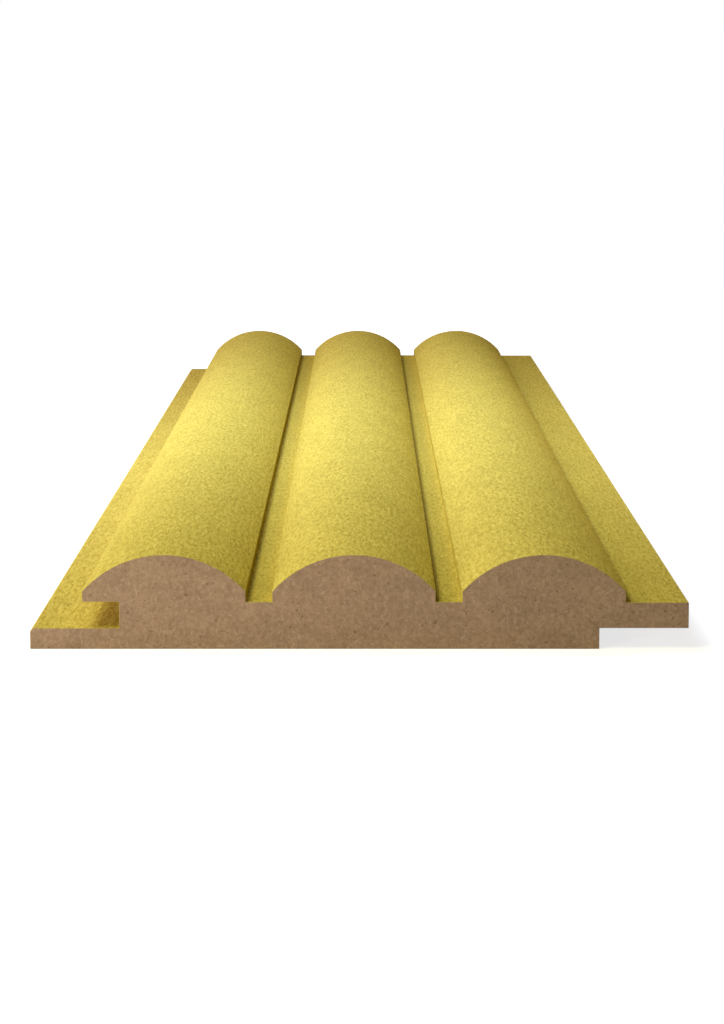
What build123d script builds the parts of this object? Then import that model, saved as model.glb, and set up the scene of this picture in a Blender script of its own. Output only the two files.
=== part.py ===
# A length of reeded MDF wall panel, milled from one board and lying on its back.
# X runs across the panel from the lip to the tongue, Y along it, and Z out of its face.
# Lengths are in millimetres. The origin is on the back, under the middle of the panel.

import os

from build123d import *

# Driving sizes
panel_length = 600.0
lip_thickness = 4.0
groove_height = 5.0
shoulder_height = 2.0
crown_rise = 7.0
reed_count = 3
reed_width = 31.0
valley_width = 5.0
groove_depth = 7.0
lip_reach = 9.9
lip_nose_chamfer = 0.6
joint_clearance = 0.1

# The next panel sits one cover width along, so its hook is one valley away from the last reed.
reed_pitch = reed_width + valley_width
cover_width = reed_count * reed_pitch
overall_width = lip_reach + groove_depth + cover_width - joint_clearance

# Stations across the panel, from the lip to the tongue
lip_end = -overall_width / 2
hook_end = lip_end + lip_reach
groove_back = hook_end + groove_depth
rebate_wall = lip_end + cover_width - joint_clearance
last_reed_end = hook_end + cover_width - valley_width
tongue_end = groove_back + cover_width - joint_clearance
reed_centres = [hook_end + reed_width / 2 + i * reed_pitch for i in range(reed_count)]

# The valley floors are level with the underside of the hook.
floor_height = lip_thickness + groove_height
corner = (Align.MIN, Align.MIN)

# One reed: straight shoulders under a shallow round crown
with BuildSketch() as reed:
    with BuildLine():
        shoulders = Polyline(
            (-reed_width / 2, shoulder_height),
            (-reed_width / 2, 0),
            (reed_width / 2, 0),
            (reed_width / 2, shoulder_height),
        )
        crown_top = (0, shoulder_height + crown_rise)
        ThreePointArc(shoulders @ 1, crown_top, shoulders @ 0)
    make_face()

with BuildPart() as wall_panel:
    with BuildSketch(Plane.XZ) as section:
        # Board under the reeds, from the lip's end to the tongue's end
        with Locations((lip_end, 0)):
            Rectangle(overall_width, floor_height, align=corner)
        with Locations(*[(centre, floor_height) for centre in reed_centres]):
            add(reed.sketch)

        # Space over the lip, which runs in under the first reed as the groove
        with Locations((lip_end, lip_thickness)):
            Rectangle(groove_back - lip_end, groove_height, align=corner, mode=Mode.SUBTRACT)

        # Rebate in the back, which takes the next panel's lip
        with Locations((rebate_wall, 0)):
            Rectangle(tongue_end - rebate_wall, lip_thickness, align=corner, mode=Mode.SUBTRACT)

        # Tongue skimmed thinner than the groove is high, so that it slides in
        with Locations((last_reed_end, floor_height - joint_clearance)):
            Rectangle(tongue_end - last_reed_end, joint_clearance, align=corner, mode=Mode.SUBTRACT)

    extrude(amount=panel_length / 2, both=True)

    # Lead-in along the lip's upper edge
    lip_end_edges = wall_panel.edges().filter_by(Axis.Y).group_by(Axis.X)[0]
    chamfer(lip_end_edges.sort_by(Axis.Z)[-1], length=lip_nose_chamfer)

wall_panel.part.label = "wall_panel"

os.makedirs("parts", exist_ok=True)
export_step(wall_panel.part, "parts/wall_panel.step")
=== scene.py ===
import math

import bpy
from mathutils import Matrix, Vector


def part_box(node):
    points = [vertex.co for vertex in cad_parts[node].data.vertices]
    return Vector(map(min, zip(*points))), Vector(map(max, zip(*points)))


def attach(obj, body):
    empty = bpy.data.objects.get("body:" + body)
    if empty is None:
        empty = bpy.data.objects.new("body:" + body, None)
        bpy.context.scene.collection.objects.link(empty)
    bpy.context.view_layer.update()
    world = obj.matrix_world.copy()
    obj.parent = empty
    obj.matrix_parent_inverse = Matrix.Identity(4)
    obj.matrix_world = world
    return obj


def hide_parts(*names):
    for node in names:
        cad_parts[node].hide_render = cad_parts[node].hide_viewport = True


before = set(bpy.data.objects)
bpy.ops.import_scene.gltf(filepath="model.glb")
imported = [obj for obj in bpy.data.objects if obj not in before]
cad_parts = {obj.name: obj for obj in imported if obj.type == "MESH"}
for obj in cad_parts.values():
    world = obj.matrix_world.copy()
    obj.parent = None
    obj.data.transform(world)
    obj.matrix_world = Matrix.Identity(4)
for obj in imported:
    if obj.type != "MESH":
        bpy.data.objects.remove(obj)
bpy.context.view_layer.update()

# Wall panel
# One length of MDF, moulded on its face to three reeds, with a lip and groove along one long edge
# and a tongue along the other. Its face and outer edges are sprayed. Its sawn ends, its back and
# the rebate under the tongue are raw board.
mm = 0.001
low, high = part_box("wall_panel")
lip_end, tongue_end = low.x, high.x
near_end, far_end = low.y, high.y
crown_top = high.z
reed_count = 3
reed_width = 31 * mm
valley_width = 5 * mm
shoulder_height = 2 * mm
lip_reach = 9.9 * mm
lip_thickness = 4 * mm
lip_chamfer = 0.6 * mm
groove_depth = 7 * mm
groove_height = 5 * mm
joint_clearance = 0.1 * mm

reed_pitch = reed_width + valley_width
valley_floor = lip_thickness + groove_height
tongue_top = valley_floor - joint_clearance
shoulder_top = valley_floor + shoulder_height
hook_end = lip_end + lip_reach
groove_back = hook_end + groove_depth
rebate_wall = lip_end + reed_count * reed_pitch - joint_clearance

crown_rise = crown_top - shoulder_top
crown_radius = (reed_width ** 2 / 4 + crown_rise ** 2) / (2 * crown_rise)
crown_half_angle = math.asin(reed_width / 2 / crown_radius)
crown_steps = 48

# Sanded outside corners, paint gathered in inside corners, and the arris left by the saw
no_easing = 0
sanded_radius = 0.12 * mm
cove_radius = 0.12 * mm
saw_arris = 0.06 * mm
corner_steps = 5
ring_spacing = 10 * mm
paint_slot, board_slot = 0, 1


def crown_points(middle):
    """The crown of one reed from right to left, without its two ends."""
    centre_height = crown_top - crown_radius
    points = []
    for step in range(1, crown_steps):
        angle = crown_half_angle * (1 - 2 * step / crown_steps)
        x = middle + crown_radius * math.sin(angle)
        z = centre_height + crown_radius * math.cos(angle)
        points.append((x, z, no_easing, True))
    return points


def panel_corners():
    """The section's corners, anticlockwise seen from the near end.

    Each has its x and z, its easing radius, and whether the side that follows it is painted.
    """
    corners = [
        (lip_end, 0, sanded_radius, False),
        (rebate_wall, 0, sanded_radius, False),
        (rebate_wall, lip_thickness, cove_radius, False),
        (tongue_end, lip_thickness, sanded_radius, True),
        (tongue_end, tongue_top, sanded_radius, True),
    ]
    for reed in reversed(range(reed_count)):
        left = hook_end + reed * reed_pitch
        right = left + reed_width
        right_base = tongue_top if reed == reed_count - 1 else valley_floor
        corners.append((right, right_base, cove_radius, True))
        corners.append((right, shoulder_top, sanded_radius, True))
        corners += crown_points(left + reed_width / 2)
        corners.append((left, shoulder_top, sanded_radius, True))
        left_base_radius = sanded_radius if reed == 0 else cove_radius
        corners.append((left, valley_floor, left_base_radius, True))
    corners += [
        (groove_back, valley_floor, cove_radius, True),
        (groove_back, lip_thickness, cove_radius, True),
        (lip_end + lip_chamfer, lip_thickness, sanded_radius, True),
        (lip_end, lip_thickness - lip_chamfer, sanded_radius, True),
    ]
    return corners


def eased_outline(corners):
    """Rounds each corner that has a radius. Returns x, z and paint for each point."""
    outline = []
    for i, (x, z, radius, painted) in enumerate(corners):
        if radius == no_easing:
            outline.append((x, z, painted))
            continue
        before_x, before_z, *_ = corners[i - 1]
        after_x, after_z, *_ = corners[(i + 1) % len(corners)]
        back = math.atan2(before_z - z, before_x - x)
        ahead = math.atan2(after_z - z, after_x - x)
        turn = math.remainder(ahead - back, math.tau)
        reach = radius / math.sin(abs(turn) / 2)
        cut = radius / math.tan(abs(turn) / 2)
        middle = back + turn / 2
        centre_x = x + reach * math.cos(middle)
        centre_z = z + reach * math.sin(middle)

        # The arc runs between the points where it touches the two sides.
        first = math.atan2(z + cut * math.sin(back) - centre_z, x + cut * math.cos(back) - centre_x)
        last = math.atan2(z + cut * math.sin(ahead) - centre_z, x + cut * math.cos(ahead) - centre_x)
        sweep = math.remainder(last - first, math.tau)
        for step in range(corner_steps + 1):
            angle = first + sweep * step / corner_steps
            point_x = centre_x + radius * math.cos(angle)
            point_z = centre_z + radius * math.sin(angle)
            outline.append((point_x, point_z, painted))
    return outline


def moved_in(corners, depth):
    """The corners moved into the board by depth, for the arris at a sawn end."""
    moved = []
    for i, (x, z, radius, painted) in enumerate(corners):
        before_x, before_z, *_ = corners[i - 1]
        after_x, after_z, *_ = corners[(i + 1) % len(corners)]
        back = math.dist((x, z), (before_x, before_z))
        ahead = math.dist((x, z), (after_x, after_z))

        # The two sides that meet here each have a normal that points into the board.
        back_x, back_z = (before_z - z) / back, (x - before_x) / back
        ahead_x, ahead_z = (z - after_z) / ahead, (after_x - x) / ahead
        cosine = back_x * ahead_x + back_z * ahead_z
        turn = back_x * ahead_z - back_z * ahead_x
        reach = depth / (1 + cosine)
        moved_x = x + reach * (back_x + ahead_x)
        moved_z = z + reach * (back_z + ahead_z)
        if radius != no_easing:
            radius -= math.copysign(depth, turn)
        moved.append((moved_x, moved_z, radius, painted))
    return moved


def panel_mesh():
    """Rings of the section along the panel, closed by the two sawn ends."""
    corners = panel_corners()
    outline = eased_outline(corners)
    sawn = eased_outline(moved_in(corners, saw_arris))
    ring_count = round((far_end - near_end) / ring_spacing)
    spacing = (far_end - near_end - 2 * saw_arris) / ring_count
    rings = [(near_end, sawn)]
    rings += [(near_end + saw_arris + i * spacing, outline) for i in range(ring_count + 1)]
    rings.append((far_end, sawn))
    points = [(x, y, z) for y, ring in rings for x, z, _ in ring]

    count = len(outline)
    last_ring = (len(rings) - 1) * count
    faces, finishes = [], []
    for start in range(0, last_ring, count):
        following = start + count
        for i, (_, _, painted) in enumerate(outline):
            j = (i + 1) % count
            faces.append((following + i, following + j, start + j, start + i))
            finishes.append(paint_slot if painted else board_slot)
    smooth = [True] * len(faces)

    sawn_ends = [tuple(range(count)), tuple(reversed(range(last_ring, last_ring + count)))]
    faces += sawn_ends
    finishes += [board_slot for _ in sawn_ends]
    smooth += [False for _ in sawn_ends]

    mesh = bpy.data.meshes.new("reeded_panel")
    mesh.from_pydata(points, [], faces)
    mesh.polygons.foreach_set("material_index", finishes)
    mesh.polygons.foreach_set("use_smooth", smooth)
    mesh.update()
    return mesh


def add_node(tree, kind, **values):
    """A shader node with its settings and its unlinked sockets set by name."""
    node = tree.nodes.new(kind)
    for name, value in values.items():
        if hasattr(node, name):
            setattr(node, name, value)
        else:
            node.inputs[name.replace("_", " ")].default_value = value
    return node


def new_material(name, roughness, gloss):
    """A material, its node tree and its shader, with what is the same all over set on the shader."""
    material = bpy.data.materials.new(name)
    material.use_nodes = True
    tree = material.node_tree
    shader = tree.nodes["Principled BSDF"]
    shader.inputs["Roughness"].default_value = roughness
    shader.inputs["Specular IOR Level"].default_value = gloss
    return material, tree, shader


def grain(tree, place, size, turn=(0, 0, 0), detail=2.0, roughness=0.6):
    """Noise whose blobs have the given size, turned about the three axes."""
    mapping = add_node(tree, "ShaderNodeMapping", vector_type="TEXTURE", Rotation=turn, Scale=size)
    tree.links.new(place.outputs["Object"], mapping.inputs["Vector"])
    noise = add_node(tree, "ShaderNodeTexNoise", Scale=1.0, Detail=detail, Roughness=roughness)
    tree.links.new(mapping.outputs["Vector"], noise.inputs["Vector"])
    return noise.outputs["Fac"]


def ramp(tree, factor, stops):
    """A colour for each level of the factor."""
    node = add_node(tree, "ShaderNodeValToRGB")
    elements = node.color_ramp.elements
    while len(elements) < len(stops):
        elements.new(position=0.5)
    for element, (position, colour) in zip(elements, stops):
        element.position = position
        element.color = (*colour, 1)
    tree.links.new(factor, node.inputs["Fac"])
    return node.outputs["Color"]


def level(tree, value, between, results):
    """The value eased from one result to the other between two limits, and flat outside them."""
    node = add_node(tree, "ShaderNodeMapRange", interpolation_type="SMOOTHSTEP")
    node.inputs["From Min"].default_value, node.inputs["From Max"].default_value = between
    node.inputs["To Min"].default_value, node.inputs["To Max"].default_value = results
    tree.links.new(value, node.inputs["Value"])
    return node.outputs["Result"]


# The Mix node's sockets for colours share their names with others, so they go by number.
mix_factor, mix_first, mix_second, mix_result = 0, 6, 7, 2


def blend(tree, kind, factor, first, second):
    """Two colours blended. The factor, and the second colour, may be a socket or a value."""
    node = add_node(tree, "ShaderNodeMix", data_type="RGBA", blend_type=kind)
    tree.links.new(first, node.inputs[mix_first])
    for value, socket in ((factor, node.inputs[mix_factor]), (second, node.inputs[mix_second])):
        if isinstance(value, bpy.types.NodeSocket):
            tree.links.new(value, socket)
        else:
            socket.default_value = value
    return node.outputs[mix_result]


def number(tree, operation, first, second):
    """One sum of two numbers: the first is a socket, and the second a socket or a value."""
    node = add_node(tree, "ShaderNodeMath", operation=operation)
    tree.links.new(first, node.inputs[0])
    if isinstance(second, bpy.types.NodeSocket):
        tree.links.new(second, node.inputs[1])
    else:
        node.inputs[1].default_value = second
    return node.outputs["Value"]


def along_axes(tree, vector):
    """The X, Y and Z of a vector, by name."""
    node = add_node(tree, "ShaderNodeSeparateXYZ")
    tree.links.new(vector, node.inputs["Vector"])
    return node.outputs


def relief(tree, height, strength, distance):
    """Bump from a height between 0 and 1."""
    bump = add_node(tree, "ShaderNodeBump", Strength=strength, Distance=distance)
    tree.links.new(height, bump.inputs["Height"])
    return bump.outputs["Normal"]


# The paint's grain, as blob sizes across, along and through the panel, and its tones
paint_roughness = 0.85
paint_gloss = 0.0
pebble_size = (0.95 * mm, 3.5 * mm, 0.95 * mm)
pebble_height = 0.38 * mm
fleck_size = (0.6 * mm, 3.5 * mm, 0.6 * mm)
pit_size = (0.5 * mm, 2.8 * mm, 0.5 * mm)
paint_patch_size = (6 * mm, 24 * mm, 6 * mm)
dark_gold = (0.66, 0.525, 0.079)
gold = (0.8, 0.655, 0.112)
pale_gold = (0.9, 0.77, 0.15)
fleck_tones = ((0.33, dark_gold), (0.5, gold), (0.68, pale_gold))
pit_tone = (0.68, 0.64, 0.55, 1)

# Painted shade: what the paint's colour is multiplied by, from the height of the lip to that of the
# shoulders
lip_painted_shade = (0.99, 0.945, 0.94)
valley_painted_shade = (0.9, 0.865, 0.81)
reed_tone = (1, 1, 1)
height_painted_shades = ((0.0, lip_painted_shade), (0.8, valley_painted_shade), (1.0, reed_tone))
groove_painted_shade = (0.785, 0.8, 0.85, 1)
away_wall_painted_shade = (0.55, 0.52, 0.45, 1)


def sprayed_paint():
    """Matt yellow-gold spray paint: a pebble drawn out along the panel, with flecks and pits, and
    painted shade low down, in the groove and on walls facing away from the lip.
    """
    material, tree, shader = new_material("sprayed_paint", paint_roughness, paint_gloss)
    place = add_node(tree, "ShaderNodeTexCoord")
    colour = ramp(tree, grain(tree, place, fleck_size), fleck_tones)
    pits = level(tree, grain(tree, place, pit_size), between=(0.3, 0.4), results=(0.75, 0.0))
    colour = blend(tree, "MULTIPLY", pits, colour, pit_tone)
    patches = grain(tree, place, paint_patch_size)
    shade = level(tree, patches, between=(0.3, 0.7), results=(0.96, 1.03))
    colour = blend(tree, "MULTIPLY", 1.0, colour, shade)

    # Painted shade: the lip, the tongue and the valleys are darker, low down below the reeds where
    # shade falls.
    spot = along_axes(tree, place.outputs["Object"])
    rise = level(tree, spot["Z"], between=(lip_thickness, shoulder_top), results=(0.0, 1.0))
    colour = blend(tree, "MULTIPLY", 1.0, colour, ramp(tree, rise, height_painted_shades))

    # Painted shade: the groove gets darker towards its back, under the first reed.
    reach = level(tree, spot["X"], between=(hook_end, groove_back), results=(0.0, 1.0))
    before_back = number(tree, "LESS_THAN", spot["X"], groove_back + cove_radius)
    under_reed = number(tree, "LESS_THAN", spot["Z"], valley_floor + cove_radius)
    in_groove = number(tree, "MULTIPLY", before_back, under_reed)
    groove_shade = number(tree, "MULTIPLY", reach, in_groove)
    colour = blend(tree, "MULTIPLY", groove_shade, colour, groove_painted_shade)

    # Painted shade: walls that face away from the lip, and so from the lamps at its side, are
    # darkest.
    facing = along_axes(tree, place.outputs["Normal"])
    away_wall_shade_mask = level(tree, facing["X"], between=(0.8, 0.95), results=(0.0, 1.0))
    colour = blend(tree, "MULTIPLY", away_wall_shade_mask, colour, away_wall_painted_shade)
    tree.links.new(colour, shader.inputs["Base Color"])

    pebble = grain(tree, place, pebble_size)
    bumps = relief(tree, pebble, strength=1.0, distance=pebble_height)
    tree.links.new(bumps, shader.inputs["Normal"])
    return material


# The board's fibres, as blob sizes and turns about the three axes, and its tones
board_roughness = 0.9
board_gloss = 0.08
felt_size = (0.7 * mm, 0.7 * mm, 0.7 * mm)
felt_height = 0.1 * mm
dark_felt = (0.35, 0.225, 0.127)
pale_felt = (0.49, 0.325, 0.193)
felt_tones = ((0.3, dark_felt), (0.7, pale_felt))
board_patch_size = (9 * mm, 9 * mm, 5 * mm)
sliver_size = (1.8 * mm, 0.3 * mm, 0.3 * mm)
sliver_turns = ((0.2, 0.5, 0.3), (0.4, -0.7, -0.2), (-0.3, 1.4, 0.2), (0.1, 0.0, 1.2))
sliver_tone = (0.62, 0.45, 0.29, 1)
speck_size = (1.0 * mm, 1.0 * mm, 0.8 * mm)
speck_turn = (0.7, 0.3, 1.1)
speck_tone = (0.16, 0.1, 0.06, 1)


def raw_board():
    """Sawn MDF: a fine brown felt of fibres, with paler slivers and dark specks."""
    material, tree, shader = new_material("raw_board", board_roughness, board_gloss)
    place = add_node(tree, "ShaderNodeTexCoord")
    felt = grain(tree, place, felt_size, detail=3.0)
    colour = ramp(tree, felt, felt_tones)
    patches = grain(tree, place, board_patch_size)
    shade = level(tree, patches, between=(0.3, 0.7), results=(0.94, 1.06))
    colour = blend(tree, "MULTIPLY", 1.0, colour, shade)
    for turn in sliver_turns:
        streak = grain(tree, place, sliver_size, turn)
        sliver = level(tree, streak, between=(0.61, 0.71), results=(0.0, 0.5))
        colour = blend(tree, "MIX", sliver, colour, sliver_tone)
    dots = grain(tree, place, speck_size, speck_turn)
    speck = level(tree, dots, between=(0.28, 0.36), results=(0.65, 0.0))
    colour = blend(tree, "MIX", speck, colour, speck_tone)
    tree.links.new(colour, shader.inputs["Base Color"])

    bumps = relief(tree, felt, strength=0.25, distance=felt_height)
    tree.links.new(bumps, shader.inputs["Normal"])
    return material


panel = bpy.data.objects.new("reeded_panel", panel_mesh())
bpy.context.scene.collection.objects.link(panel)
panel.data.materials.append(sprayed_paint())
panel.data.materials.append(raw_board())
flat_faces = panel.modifiers.new("flat_faces_stay_flat", "WEIGHTED_NORMAL")
flat_faces.keep_sharp = True
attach(panel, "root")
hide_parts("wall_panel")

# Studio floor
# A plain white floor that the panel lies on. Seen directly it also glows, a little less round the
# panel, where the lamps light it too, so that the panel's faint shadow stays.
floor_half_width = 12.0
floor_white = (0.9, 0.9, 0.9, 1)
floor_glow = (0.97, 0.985, 1, 1)
lit_radius, faded_radius = 0.25, 0.55
glow_near_panel, glow_far_off = 0.74, 1.0


def seen_directly(tree):
    """1 for the camera and for mirror and glass rays, and 0 for the rays that light things."""
    path = add_node(tree, "ShaderNodeLightPath").outputs
    mirrored = number(tree, "MAXIMUM", path["Is Glossy Ray"], path["Is Transmission Ray"])
    return number(tree, "MAXIMUM", path["Is Camera Ray"], mirrored)


def floor_material():
    """Matt white, with a glow that only shows when the floor is seen directly."""
    material = bpy.data.materials.new("studio_floor")
    material.use_nodes = True
    tree = material.node_tree
    link = tree.links.new
    tree.nodes.remove(tree.nodes["Principled BSDF"])
    matt = add_node(tree, "ShaderNodeBsdfDiffuse", Color=floor_white)

    place = add_node(tree, "ShaderNodeTexCoord")
    distance = add_node(tree, "ShaderNodeVectorMath", operation="LENGTH")
    link(place.outputs["Object"], distance.inputs[0])
    fade = (lit_radius, faded_radius)
    strength = level(tree, distance.outputs["Value"], fade, (glow_near_panel, glow_far_off))
    glow = add_node(tree, "ShaderNodeEmission", Color=floor_glow)
    link(strength, glow.inputs["Strength"])

    both = add_node(tree, "ShaderNodeAddShader")
    link(matt.outputs["BSDF"], both.inputs[0])
    link(glow.outputs["Emission"], both.inputs[1])
    choice = add_node(tree, "ShaderNodeMixShader")
    link(seen_directly(tree), choice.inputs["Fac"])
    link(matt.outputs["BSDF"], choice.inputs[1])
    link(both.outputs["Shader"], choice.inputs[2])
    link(choice.outputs["Shader"], tree.nodes["Material Output"].inputs["Surface"])
    return material


floor_mesh = bpy.data.meshes.new("studio_floor")
floor_corners = [(-1, -1), (1, -1), (1, 1), (-1, 1)]
floor_points = [(x * floor_half_width, y * floor_half_width, low.z) for x, y in floor_corners]
floor_mesh.from_pydata(floor_points, [], [(0, 1, 2, 3)])
floor_mesh.materials.append(floor_material())
floor = bpy.data.objects.new("studio_floor", floor_mesh)
bpy.context.scene.collection.objects.link(floor)

# Studio light
# A soft key lamp over the panel and left of its middle, fills at its left and right and over its
# near and far ends, and a small lamp in front of each sawn end. Their tints follow the photograph.
# The surround looks white, but lights the panel only gently.
surround_light = (0.035, 0.028, 0.02, 1)
surround_white = (1, 1, 1, 1)
sky_blue = (0.605, 0.695, 1)
lilac = (0.87, 0.71, 1)
amber = (1, 0.72, 0.42)
lemon = (1, 0.95, 0.46)
cool_white = (0.95, 0.93, 1)
warm_white = (1, 0.94, 0.9)

world = bpy.data.worlds.new("studio_surround")
bpy.context.scene.world = world
world.use_nodes = True
sky = world.node_tree
gentle = sky.nodes["Background"]
gentle.inputs["Color"].default_value = surround_light
white = add_node(sky, "ShaderNodeBackground", Color=surround_white)
sky_choice = add_node(sky, "ShaderNodeMixShader")
sky.links.new(seen_directly(sky), sky_choice.inputs["Fac"])
sky.links.new(gentle.outputs["Background"], sky_choice.inputs[1])
sky.links.new(white.outputs["Background"], sky_choice.inputs[2])
sky.links.new(sky_choice.outputs["Shader"], sky.nodes["World Output"].inputs["Surface"])


def lamp(name, place, aim, size, power, colour, spread=180):
    """A square soft lamp at place, turned to aim. It lights the panel but isn't seen itself."""
    data = bpy.data.lights.new(name, "AREA")
    data.size = size
    data.energy = power
    data.color = colour
    data.spread = math.radians(spread)
    holder = bpy.data.objects.new(name, data)
    bpy.context.scene.collection.objects.link(holder)
    holder.location = place
    direction = holder.location - aim
    holder.rotation_euler = direction.to_track_quat("Z", "Y").to_euler()
    holder.visible_camera = False


panel_middle = (low + high) / 2
near_face = panel_middle.copy()
near_face.x, near_face.y = lip_end / 2, near_end
far_face = panel_middle.copy()
far_face.y = far_end
lamp(
    "key_lamp", place=(-0.13, -0.04, 0.36), aim=panel_middle,
    size=0.24, power=0.73, colour=sky_blue, spread=120,
)
lamp(
    "left_fill", place=(-0.6, 0, 0.3), aim=panel_middle,
    size=0.4, power=2.28, colour=lilac,
)
lamp(
    "right_fill", place=(0.5, 0, 0.12), aim=panel_middle,
    size=0.2, power=0.63, colour=amber,
)
lamp(
    "near_fill", place=(-0.2, -0.45, 0.4), aim=panel_middle,
    size=0.2, power=0.77, colour=lemon,
)
lamp(
    "far_fill", place=(-0.2, 0.45, 0.4), aim=panel_middle,
    size=0.2, power=0.38, colour=amber,
)
lamp(
    "near_end_fill", place=(-0.15, -0.6, 0.03), aim=near_face,
    size=0.05, power=0.106, colour=cool_white, spread=90,
)
lamp(
    "far_end_fill", place=(0, 0.75, 0.03), aim=far_face,
    size=0.05, power=0.9, colour=warm_white,
)

# Camera
# A long lens at the photograph's angle, a little above the near end and looking along the panel.
# Its place, tilt and lens fit the section's corners at both ends, as the photograph shows them.
camera_place = (0.52 * mm, -927.25 * mm, 104.7 * mm)
camera_tilt = math.radians(7.137)
camera_lens = 117.84
camera_sensor = 36

camera_data = bpy.data.cameras.new("camera")
camera_data.lens = camera_lens
camera_data.sensor_width = camera_sensor
camera = bpy.data.objects.new("camera", camera_data)
bpy.context.scene.collection.objects.link(camera)
camera.location = camera_place
camera.rotation_euler = (math.radians(90) - camera_tilt, 0, 0)
bpy.context.scene.camera = camera
bpy.context.scene.view_settings.view_transform = "Standard"
